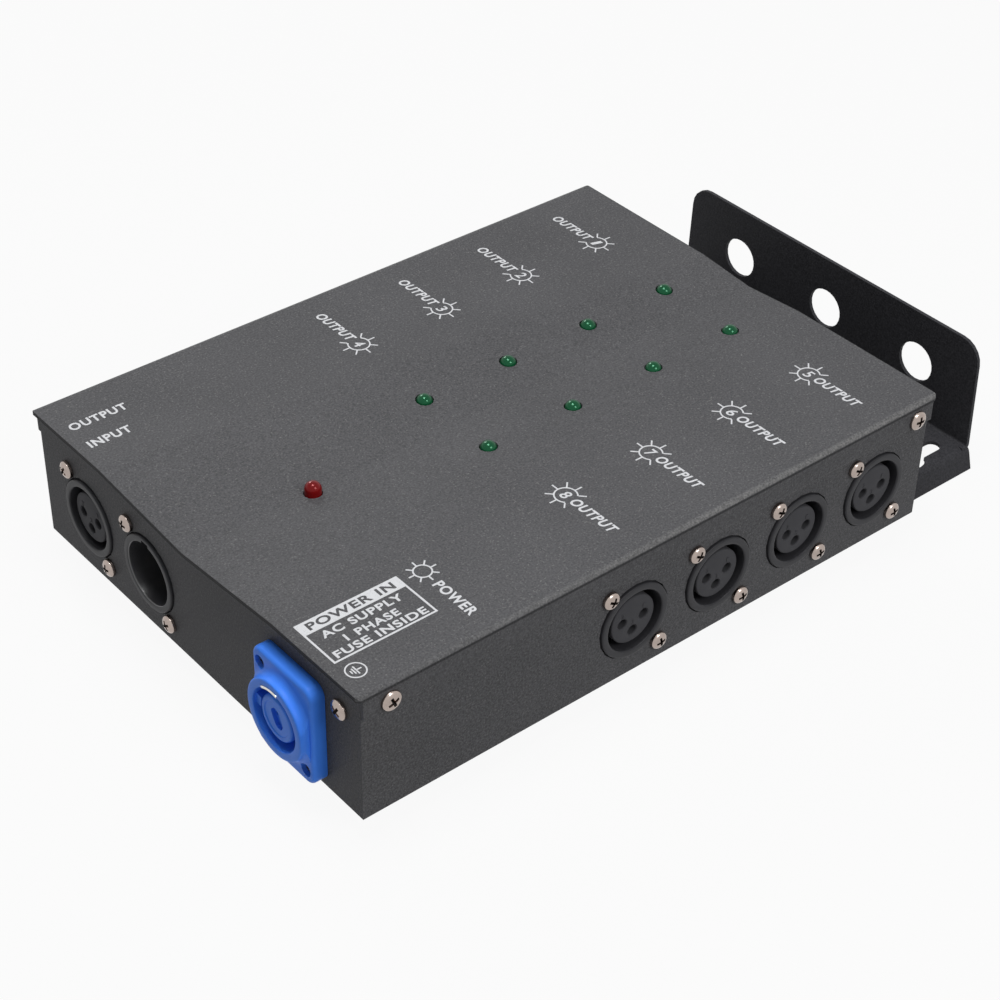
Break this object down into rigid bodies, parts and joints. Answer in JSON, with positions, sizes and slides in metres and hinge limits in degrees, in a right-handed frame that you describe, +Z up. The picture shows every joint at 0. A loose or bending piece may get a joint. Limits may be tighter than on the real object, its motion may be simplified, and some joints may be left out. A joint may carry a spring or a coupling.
{
  "type": "dmx splitter",
  "caption": "Flat folded-steel splitter box for stage lighting control lines, with round sockets on three sides, a mains inlet, signal lamps in its lid and an end bracket.",
  "frame": {"origin": "centre of the bottom of the whole part's box, level with the undersides of the feet", "axes": "+X along the case towards the bracket, +Y across it away from the side with outputs 5 to 8, +Z up through the lid"},
  "size_m": [0.2552, 0.1598, 0.0527],
  "materials": {
    "case_paint": "dark grey powder coat with a fine texture",
    "bracket_paint": "satin black powder coat",
    "shell_plastic": "satin black moulded plastic",
    "insert_plastic": "black moulded plastic",
    "blue_plastic": "blue moulded plastic",
    "bright_steel": "nickel plated steel",
    "green_lamp": "clear green epoxy, unlit",
    "red_lamp": "clear red epoxy, unlit",
    "foot_rubber": "black rubber",
    "circuit_board": "green solder mask",
    "fuse_glass": "clear glass tube with plated caps",
    "spacer_brass": "turned brass"
  },
  "bodies": {
    "root": {"base_tray": "case_paint", "lid": "case_paint", "mounting_bracket": "bracket_paint", "output_1_shell": "shell_plastic", "output_2_shell": "shell_plastic", "output_3_shell": "shell_plastic", "output_4_shell": "shell_plastic", "output_5_shell": "shell_plastic", "output_6_shell": "shell_plastic", "output_7_shell": "shell_plastic", "output_8_shell": "shell_plastic", "output_1_insert": "insert_plastic", "output_2_insert": "insert_plastic", "output_3_insert": "insert_plastic", "output_4_insert": "insert_plastic", "output_5_insert": "insert_plastic", "output_6_insert": "insert_plastic", "output_7_insert": "insert_plastic", "output_8_insert": "insert_plastic", "link_shell": "shell_plastic", "link_insert": "insert_plastic", "input_shell": "shell_plastic", "input_pin_block": "insert_plastic", "power_inlet_body": "blue_plastic", "power_inlet_core": "blue_plastic", "power_inlet_latch": "bright_steel", "power_inlet_screw_1": "bright_steel", "power_inlet_screw_2": "bright_steel", "output_1_lamp": "green_lamp", "output_2_lamp": "green_lamp", "output_3_lamp": "green_lamp", "output_4_lamp": "green_lamp", "output_5_lamp": "green_lamp", "output_6_lamp": "green_lamp", "output_7_lamp": "green_lamp", "output_8_lamp": "green_lamp", "power_lamp": "red_lamp", "lid_screw_1": "bright_steel", "lid_screw_2": "bright_steel", "lid_screw_3": "bright_steel", "lid_screw_4": "bright_steel", "earth_screw": "bright_steel", "bracket_screw_1": "bright_steel", "bracket_screw_2": "bright_steel", "foot_1": "foot_rubber", "foot_2": "foot_rubber", "foot_3": "foot_rubber", "foot_4": "foot_rubber", "main_board": "circuit_board", "power_board": "circuit_board", "fuse": "fuse_glass", "main_board_spacer_1": "spacer_brass", "main_board_spacer_2": "spacer_brass", "main_board_spacer_3": "spacer_brass", "main_board_spacer_4": "spacer_brass", "power_board_spacer_1": "spacer_brass", "power_board_spacer_2": "spacer_brass", "power_board_spacer_3": "spacer_brass", "power_board_spacer_4": "spacer_brass"}
  },
  "joints": []
}
